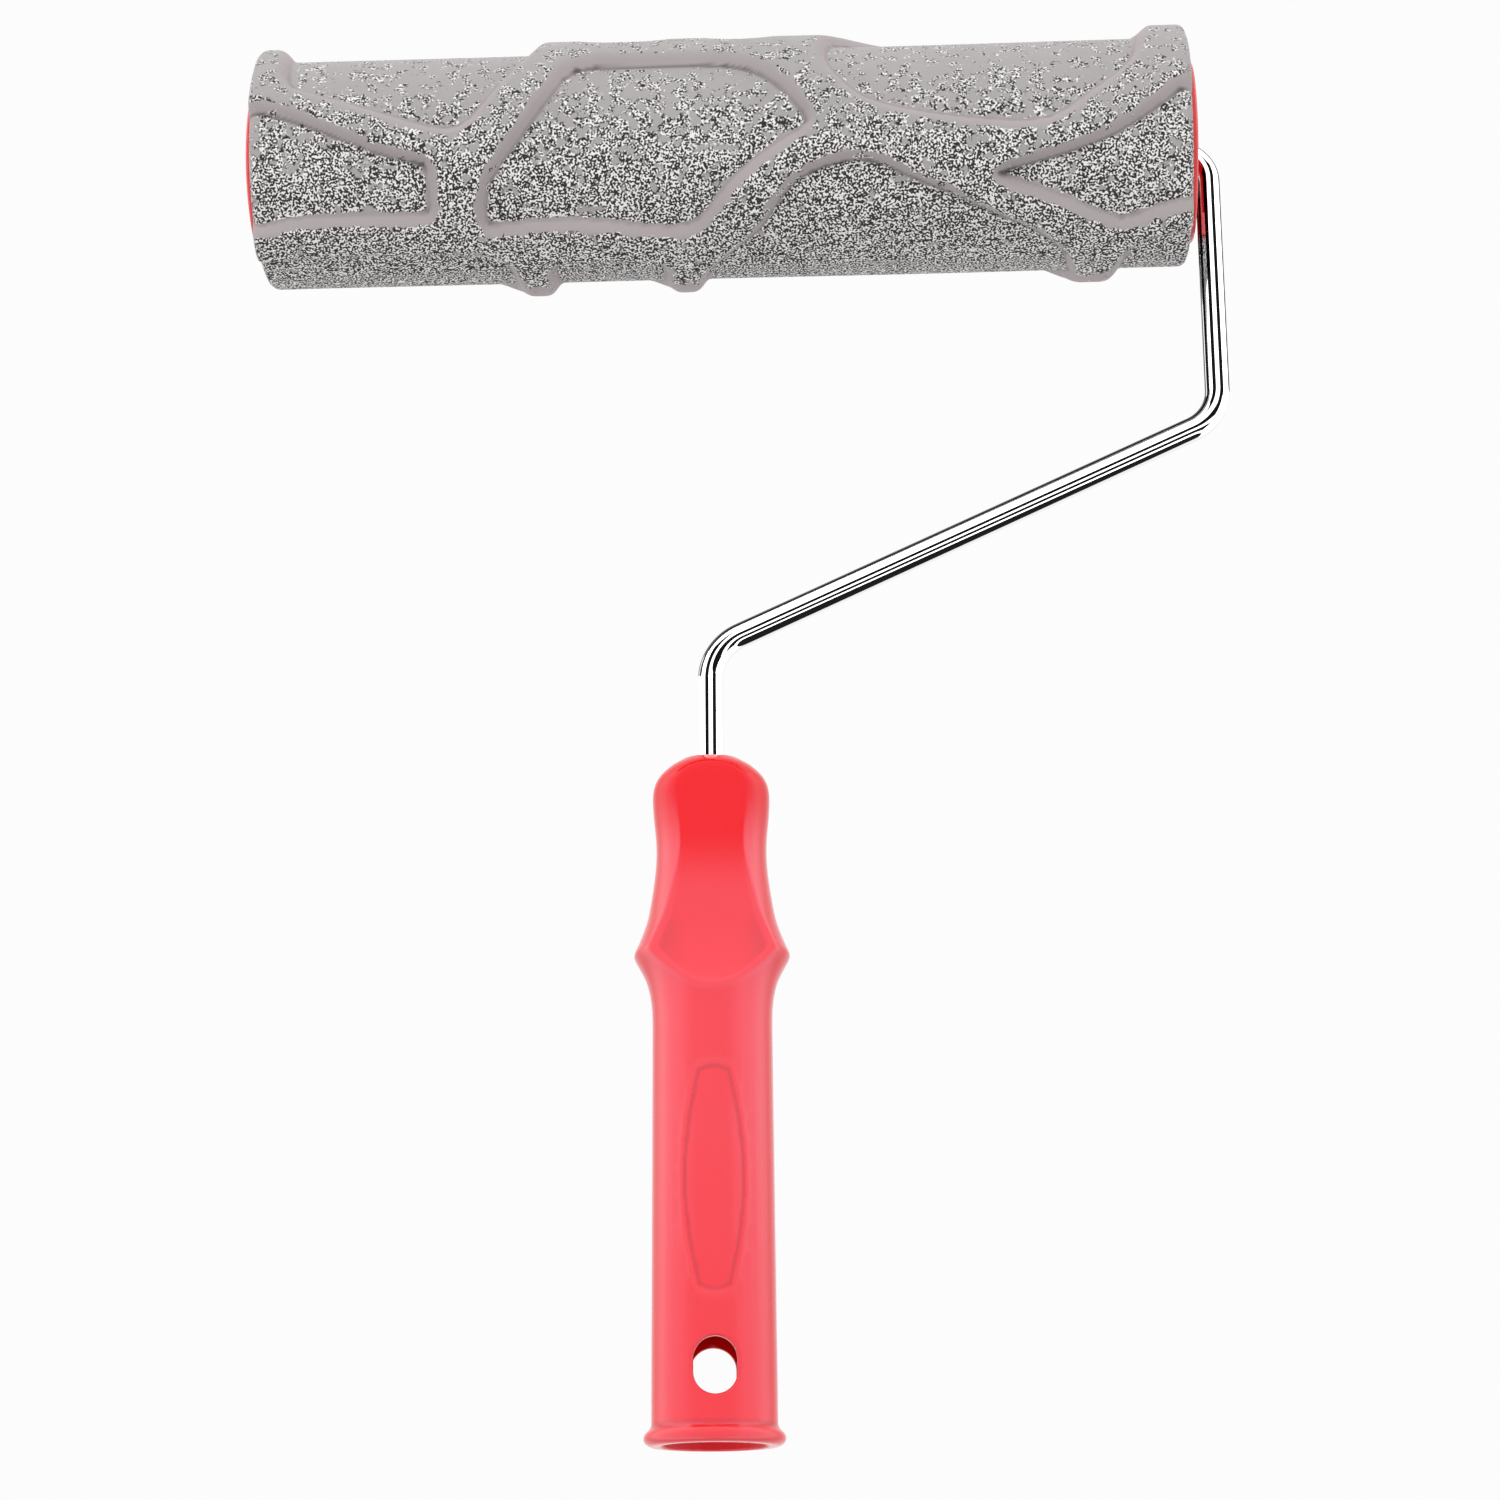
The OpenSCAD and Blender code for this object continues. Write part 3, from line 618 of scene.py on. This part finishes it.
def frame_wire(material):
    """The bent wire as rings of points along its centre line, with chamfered and closed ends."""
    path, ways, wire_r = wire_centre_line()
    stations = [(path[0], ways[0], wire_r - WIRE_CHAMFER),
                (path[0] + ways[0] * WIRE_CHAMFER, ways[0], wire_r)]
    stations += [(p, t, wire_r) for p, t in zip(path[1:-1], ways[1:-1])]
    stations += [(path[-1] - ways[-1] * WIRE_CHAMFER, ways[-1], wire_r),
                 (path[-1], ways[-1], wire_r - WIRE_CHAMFER)]
    verts = []
    for (x, z), (tx, tz), r in stations:
        for k in range(WIRE_SIDES):
            a = 2 * math.pi * k / WIRE_SIDES
            verts.append((x - tz * r * math.cos(a), r * math.sin(a), z + tx * r * math.cos(a)))
    faces = grid_faces(len(stations), WIRE_SIDES)
    for row, (p, t, r) in ((0, stations[0]), (len(stations) - 1, stations[-1])):
        centre = len(verts)
        verts.append((p[0], 0.0, p[1]))
        faces += [(row * WIRE_SIDES + k, row * WIRE_SIDES + (k + 1) % WIRE_SIDES, centre)
                  for k in range(WIRE_SIDES)]
    return recalculated(new_object("bent_wire", verts, faces, material))


# ---------------------------------------------------------------- handle

HANDLE_COLUMNS = 256
HANDLE_TURN = math.radians(4.0)
HANDLE_STEP = 0.4 * MM
GRIP_R = 14 * MM
PROBE_COLUMNS = 512
PROBE_STEP = 0.25 * MM
PROBE_REACH = 30 * MM
PROBE_INSET = 0.05 * MM
HANDLE_BLUR = 0.36 * MM
HEAD_BLUR = 1.0 * MM
HEAD_BLEND = (140 * MM, 150 * MM)

# The outside's first and last rows, from the foot and the top, and the foot's lip and the mouth's chamfer
# as rings: (inwards from the outside, up) and (outwards from the socket, up)
FOOT_INSET, TOP_INSET = 0.25 * MM, 0.12 * MM
FOOT_LIP = ((0.6 * MM, 0.03 * MM), (1.3 * MM, 0.0))
MOUTH_CHAMFER = ((1.1 * MM, 0.02 * MM), (0.45 * MM, 0.0), (0.0, 0.4 * MM))
TOP_SHARES = (0.03, 0.08, 0.5, 1.0)
SOCKET_R = 11.75 * MM
SOCKET_TOP = 75 * MM
SOCKET_CONE = 8 * MM
SOCKET_ROWS = 24
WIRE_HOLE_R = 3.0 * MM

SLOT_Z = 16.7 * MM
SLOT_W = 9.7 * MM
SLOT_LEN = 12.6 * MM
BACK_SLOT_WIDENING = 0.3 * MM
SLOT_MARGIN = 2.2 * MM
SLOT_FILLET, SLOT_FILLET_STEPS = 0.8 * MM, 5
BORE_FILLET, BORE_FILLET_STEPS = 0.4 * MM, 3
SLOT_STEPS, BORE_STEPS = 6, 3

# What counts as an edge, a groove and the inside, for the handle's painted highlight and painted shade
EDGE_REACH, EDGE_HEIGHT = 1.2 * MM, 0.10 * MM
GROOVE_REACH, GROOVE_DEPTH, GROOVE_FROM = 0.5 * MM, 0.03 * MM, 0.6
INSIDE_MARGIN, INSIDE_ABOVE = 0.2 * MM, 9 * MM


def softened(field, sigma):
    """The handle's radius field blurred by the same distance up and round."""
    around = 2 * math.pi * GRIP_R / PROBE_COLUMNS
    return gaussian_rows(gaussian_rows(field, PROBE_STEP, sigma, 0, False, True), around, sigma, 1, True)


def handle_radius():
    """The CAD handle's outer radius by height and angle, with the slot filled in and the edges softened."""
    lo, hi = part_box("handle")
    tree = node_tree(NODES["handle"])
    zs = np.arange(lo.z + PROBE_INSET, hi.z - PROBE_INSET, PROBE_STEP)
    angles = np.arange(PROBE_COLUMNS) * 2 * math.pi / PROBE_COLUMNS
    out = np.zeros((len(zs), PROBE_COLUMNS))
    for i, z in enumerate(zs):
        for j, a in enumerate(angles):
            d = Vector((math.cos(a), math.sin(a), 0.0))
            hit = tree.ray_cast(Vector((0.0, 0.0, z)) + d * PROBE_REACH, -d)[3]
            out[i, j] = PROBE_REACH - hit if hit is not None and hit < PROBE_REACH else np.nan
    in_slot = np.abs(zs - SLOT_Z) < SLOT_LEN / 2 + 1 * MM
    plain = np.nanmax(out, axis=1)
    out[in_slot] = plain[in_slot][:, None]
    out = np.where(np.isnan(out), plain[:, None], out)
    head = np.clip((zs - HEAD_BLEND[0]) / (HEAD_BLEND[1] - HEAD_BLEND[0]), 0, 1)[:, None]
    return zs, softened(out, HANDLE_BLUR) * (1 - head) + softened(out, HEAD_BLUR) * head


def look_up(heights, field, z, angle):
    """A field over the probed heights and angles, read between its samples."""
    zi = np.clip((z - heights[0]) / PROBE_STEP, 0, len(heights) - 1.001)
    ai = (angle % (2 * math.pi)) / (2 * math.pi) * PROBE_COLUMNS
    i, j = int(zi), int(ai) % PROBE_COLUMNS
    fi, fj, k = zi - i, ai - int(ai), (j + 1) % PROBE_COLUMNS
    low = field[i, j] * (1 - fj) + field[i, k] * fj
    high = field[i + 1, j] * (1 - fj) + field[i + 1, k] * fj
    return low * (1 - fi) + high * fi


def slot_outline(direction, grow, widen):
    """Where a ray from the slot's middle meets its outline, grown all round and widened sideways."""
    r = SLOT_W / 2 + widen + grow
    half = (SLOT_LEN - SLOT_W) / 2 - widen
    u, v = direction
    if abs(u) > 1e-9 and abs(v * r / abs(u)) <= half:
        t = r / abs(u)
    else:
        b = abs(v) * half
        t = b + math.sqrt(max(b * b - half * half + r * r, 0.0))
    return u * t, v * t


def slot_loop(plan, grow, widen):
    """The slot's outline as one point for each point of a plan, in the same direction from its middle."""
    lengths = [math.hypot(u, v) for u, v in plan]
    return [slot_outline((u / length, v / length), grow, widen) for (u, v), length in zip(plan, lengths)]


def blended(start, end, share):
    """Points a share of the way from one loop to another."""
    return [(u + (u1 - u) * share, v + (v1 - v) * share) for (u, v), (u1, v1) in zip(start, end)]


def hole_loop(start, low, high, mid, spread):
    """The vertex numbers round a hole in a grid of rings, from row low to high, about column mid."""
    n = HANDLE_COLUMNS
    cols = [(mid + k) % n for k in range(-spread, spread + 1)]
    ids = [start + low * n + c for c in cols]
    ids += [start + i * n + cols[-1] for i in range(low + 1, high)]
    ids += [start + high * n + c for c in reversed(cols)]
    ids += [start + i * n + cols[0] for i in range(high - 1, low, -1)]
    return ids


def add_slot_side(verts, outer_ids, inner_ids, sign, radius_at):
    """Adds one end of the slot, at the front (sign -1) or the back (1): rings of points from the hole in
    the outside, round the slot's lip, through the wall and out to the hole in the bore. Gives its faces."""
    plan, plan_in = [[(verts[v][0], verts[v][2] - SLOT_Z) for v in ids] for ids in (outer_ids, inner_ids)]
    widen = BACK_SLOT_WIDENING if sign > 0 else 0.0
    loops = [outer_ids]

    def on_outside(u, v):
        angle = math.atan2(sign * math.sqrt(max(GRIP_R ** 2 - u * u, 0)), u)
        r = radius_at(SLOT_Z + v, angle)
        return sign * math.sqrt(max(r * r - u * u, 0))

    def on_bore(u, v):
        return sign * math.sqrt(SOCKET_R ** 2 - u * u)

    def add(points, surface, inwards=0.0):
        loops.append(list(range(len(verts), len(verts) + len(points))))
        verts.extend((u, surface(u, v) - sign * inwards, SLOT_Z + v) for u, v in points)

    for k in range(1, SLOT_STEPS + 1):
        add(blended(plan, slot_loop(plan, SLOT_FILLET, widen), k / SLOT_STEPS), on_outside)
    for k in range(1, SLOT_FILLET_STEPS + 1):
        a = math.pi / 2 * k / SLOT_FILLET_STEPS
        add(slot_loop(plan, SLOT_FILLET * (1 - math.sin(a)), widen), on_outside,
            SLOT_FILLET * (1 - math.cos(a)))
    for k in range(BORE_FILLET_STEPS + 1):
        a = math.pi / 2 * (1 - k / BORE_FILLET_STEPS)
        add(slot_loop(plan_in, BORE_FILLET * (1 - math.sin(a)), widen), on_bore,
            -BORE_FILLET * (1 - math.cos(a)))
    for k in range(1, BORE_STEPS):
        add(blended(slot_loop(plan_in, BORE_FILLET, widen), plan_in, k / BORE_STEPS), on_bore)
    return faces_between(loops + [inner_ids])


def mark_handle(obj, verts, zs, angles, probe_z, probe_r):
    """Marks raised edges for the handle's painted highlight, and grooves and the inside of the socket for its
    painted shade.
    """
    edges = probe_r - softened(probe_r, EDGE_REACH)
    grooves = softened(probe_r, GROOVE_REACH) - probe_r
    mark(obj, "edge", [look_up(probe_z, edges, z, a) / EDGE_HEIGHT for z in zs for a in angles])
    mark(obj, "groove_shade", [look_up(probe_z, grooves, z, a) / GROOVE_DEPTH - GROOVE_FROM
                         for z in zs for a in angles])
    mark(obj, "inside", [math.hypot(x, y) < SOCKET_R + INSIDE_MARGIN and z < SOCKET_TOP + INSIDE_ABOVE
                         for x, y, z in verts])


def handle(material):
    """The handle as one closed mesh: the outside, the socket, the lip at the foot, the top and the slot.
    It is made square to the wire and then turned a little on it."""
    lo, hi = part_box("handle")
    probe_z, probe_r = handle_radius()
    n = HANDLE_COLUMNS
    angles = [2 * math.pi * j / n for j in range(n)]
    zs = list(np.linspace(lo.z + FOOT_INSET, hi.z - TOP_INSET, int((hi.z - lo.z) / HANDLE_STEP)))

    def radius_at(z, angle):
        return look_up(probe_z, probe_r, z, angle)

    def circles(rings):
        return [(r * math.cos(a), r * math.sin(a), z) for r, z in rings for a in angles]

    def ring(start, row=0):
        return range(start + row * n, start + (row + 1) * n)

    # rows and columns of the square hole that each end of the slot fills
    row_lo = min(i for i, z in enumerate(zs) if z > SLOT_Z - (SLOT_LEN / 2 + SLOT_MARGIN))
    row_hi = max(i for i, z in enumerate(zs) if z < SLOT_Z + (SLOT_LEN / 2 + SLOT_MARGIN))
    spread = int(round(math.asin((SLOT_W / 2 + SLOT_MARGIN) / GRIP_R) / (2 * math.pi) * n))
    holes = {-1: 3 * n // 4, 1: n // 4}

    def grid_with_holes(rows, start, low, high):
        def in_hole(i, j):
            return low <= i < high and any(-spread <= (j - mid + n // 2) % n - n // 2 < spread
                                           for mid in holes.values())
        return grid_faces(rows, n, start, True, in_hole)

    verts = [(radius_at(z, a) * math.cos(a), radius_at(z, a) * math.sin(a), z) for z in zs for a in angles]
    faces = grid_with_holes(len(zs), 0, row_lo, row_hi)

    # the bore: the mouth's chamfer, rows that match the outside round the slot, then up to the wire
    bore = [(SOCKET_R + out, lo.z + up) for out, up in MOUTH_CHAMFER]
    bore_lo = len(bore) + 2
    bore_hi = bore_lo + row_hi - row_lo
    bore += [(SOCKET_R, z) for z in zs[row_lo - 2:row_hi + 3]]
    bore += [(SOCKET_R, z) for z in np.linspace(zs[row_hi + 3], SOCKET_TOP, SOCKET_ROWS)]
    bore += [(WIRE_HOLE_R, SOCKET_TOP + SOCKET_CONE)]
    bore_start = len(verts)
    verts += circles(bore)
    faces += grid_with_holes(len(bore), bore_start, bore_lo, bore_hi)

    # the rounded lip from the outside to the bore
    lip_start = len(verts)
    verts += circles([(radius_at(zs[0], 0) - inwards, lo.z + up) for inwards, up in FOOT_LIP])
    faces += faces_between([ring(0), ring(lip_start), ring(lip_start, 1), ring(bore_start)])

    # the flat top round the wire, and the end of the socket
    top = len(verts)
    for share in TOP_SHARES:
        for a in angles:
            r = radius_at(zs[-1], a) * (1 - share) + WIRE_HOLE_R * share
            verts.append((r * math.cos(a), r * math.sin(a), hi.z))
    faces += faces_between([ring(0, len(zs) - 1)] + [ring(top, i) for i in range(len(TOP_SHARES))])
    for edge, z in ((ring(top, len(TOP_SHARES) - 1), hi.z),
                    (ring(bore_start, len(bore) - 1), SOCKET_TOP + SOCKET_CONE)):
        verts.append((0.0, 0.0, z))
        faces += [(edge[j], edge[(j + 1) % n], len(verts) - 1) for j in range(n)]

    for sign, mid in holes.items():
        faces += add_slot_side(verts, hole_loop(0, row_lo, row_hi, mid, spread),
                               hole_loop(bore_start, bore_lo, bore_hi, mid, spread), sign, radius_at)

    cos, sin = math.cos(HANDLE_TURN), math.sin(HANDLE_TURN)
    turned = [(x * cos - y * sin, x * sin + y * cos, z) for x, y, z in verts]
    obj = new_object("moulded_handle", turned, faces, material)
    mark_handle(obj, verts, zs, angles, probe_z, probe_r)
    return recalculated(obj)


# ---------------------------------------------------------------- build

def dress(node, material):
    """Gives a CAD node its finished material."""
    obj = NODES[node]
    obj.data.materials.clear()
    obj.data.materials.append(material)


red_caps = cap_plastic()
steel = clip_steel()
for name in ("inner_end_cap", "outer_end_cap", "axle_end_cover"):
    dress(name, red_caps)
for name in ("stop_collar", "retaining_clip"):
    dress(name, steel)
bush_material = pale_plastic("bush_plastic_fine", (0.80, 0.77, 0.68), (0.88, 0.86, 0.78), 500.0)
for name in ("inner_bush", "outer_bush"):
    dress(name, bush_material)
washer_material = pale_plastic("washer_plastic_fine", (0.62, 0.62, 0.60), (0.74, 0.74, 0.72), 650.0)
for name in ("inner_thrust_washer", "outer_thrust_washer"):
    dress(name, washer_material)
dress("core_tube", pale_plastic("core_plastic_fine", (0.72, 0.72, 0.70), (0.82, 0.82, 0.80), 300.0))

sleeve = pattern_sleeve(pattern_rubber())
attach(sleeve, "roller")
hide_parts("pattern_sleeve")

wire = frame_wire(wire_chrome())
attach(wire, "frame")
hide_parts("frame_wire")

grip = handle(handle_plastic())
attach(grip, "frame")
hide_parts("handle")


# ---------------------------------------------------------------- stage

FLOOR_HALF, FLOOR_Z = 3.0, -1 * MM


def floor():
    """A pale floor under the handle. Only the camera sees it, and only from above, so that light
    reaches the tool from below as it would on a lit table."""
    s = Shader("pale_floor")
    s.finish(colour=(0.90, 0.90, 0.90), roughness=0.8, specular=0.1)
    below = s.add("ShaderNodeNewGeometry").outputs["Backfacing"]
    seen = s.add("ShaderNodeLightPath").outputs["Is Camera Ray"]
    clear = s.add("ShaderNodeBsdfTransparent")
    mix = s.add("ShaderNodeMixShader")
    s.join(s.maths("MAXIMUM", below, s.maths("SUBTRACT", 1.0, seen)), mix.inputs[0])
    s.join(s.bsdf.outputs[0], mix.inputs[1])
    s.join(clear.outputs[0], mix.inputs[2])
    s.join(mix.outputs[0], s.tree.nodes["Material Output"].inputs["Surface"])
    size, z = FLOOR_HALF, FLOOR_Z
    obj = new_object("floor", [(-size, -size, z), (size, -size, z), (size, size, z), (-size, size, z)],
                     [(0, 1, 2, 3)], s.material, smooth=False)


def softbox(name, place, aim, width, height, watts):
    """A rectangular light that points at its aim. Shiny surfaces do not mirror it."""
    light = bpy.data.lights.new(name, "AREA")
    light.shape = "RECTANGLE"
    light.size, light.size_y, light.energy = width, height, watts
    obj = bpy.data.objects.new(name, light)
    bpy.context.scene.collection.objects.link(obj)
    obj.location = place
    obj.rotation_mode = "QUATERNION"
    obj.rotation_quaternion = (Vector(aim) - Vector(place)).to_track_quat("-Z", "Y")
    obj.visible_glossy = False


# The mirrored studio: brightness by degrees round from the camera's side
FRONT_LIGHT, SIDE_LIGHT, BACK_LIGHT = 2.25, 3.1, 1.05
FRONT_TO_SIDE, SIDE_TO_BACK = (28.0, 64.0), (100.0, 136.0)
EVEN_LIGHT, EVEN_LIGHT_UP = 0.80, 0.12      # for matt surfaces: level with the horizon, and more above it
BACKDROP = 0.975


def world():
    """White to the camera, even soft light for matt surfaces, and a studio for shiny ones to mirror.

    The mirrored studio has a lit front, brighter sides and a dimmer back.
    """
    w = bpy.data.worlds.new("studio")
    bpy.context.scene.world = w
    w.use_nodes = True
    w.node_tree.nodes.clear()
    s = Nodes(w.node_tree)

    way = s.add("ShaderNodeSeparateXYZ")
    s.join(s.add("ShaderNodeTexCoord").outputs["Generated"], way.inputs[0])
    path = s.add("ShaderNodeLightPath")
    turned, up = s.bearings(way)
    off = s.maths("ABSOLUTE", turned)

    def both(a, b):
        return s.maths("MULTIPLY", a, b)

    lit = s.maths("ADD", FRONT_LIGHT, both(s.step(off, *FRONT_TO_SIDE), SIDE_LIGHT - FRONT_LIGHT))
    lit = s.maths("SUBTRACT", lit, both(s.step(off, *SIDE_TO_BACK), SIDE_LIGHT - BACK_LIGHT))
    even = s.maths("ADD", both(way.outputs["Z"], EVEN_LIGHT_UP), EVEN_LIGHT)

    def choose(ray, other, this):
        node = s.add("ShaderNodeMix", data_type="FLOAT")
        s.join(path.outputs[ray], node.inputs["Factor"])
        s.join(other, node.inputs[2])
        s.join(this, node.inputs[3])
        return node.outputs[0]

    background = s.add("ShaderNodeBackground")
    background.inputs["Color"].default_value = (1.0, 1.0, 1.0, 1.0)
    strength = choose("Is Camera Ray", choose("Is Glossy Ray", even, lit), BACKDROP)
    s.join(strength, background.inputs["Strength"])
    s.join(background.outputs[0], s.add("ShaderNodeOutputWorld").inputs["Surface"])


CAMERA_PLACE = Vector((42.7, -797.1, -65.9)) * MM
CAMERA_TURN = (105.844, 0.488, 2.547)
CAMERA_LENS, CAMERA_SENSOR = 85.0, 36.0


def camera():
    data = bpy.data.cameras.new("camera")
    data.lens, data.sensor_width = CAMERA_LENS, CAMERA_SENSOR
    data.clip_start, data.clip_end = 0.05, 20.0
    obj = bpy.data.objects.new("camera", data)
    bpy.context.scene.collection.objects.link(obj)
    obj.location = CAMERA_PLACE
    obj.rotation_euler = [math.radians(a) for a in CAMERA_TURN]
    bpy.context.scene.camera = obj


floor()
world()
softbox("key", (-0.25, -1.50, 1.05), (0, 0, 0.25), 0.9, 0.9, 7.5)
camera()
bpy.context.scene.view_settings.view_transform = "Standard"
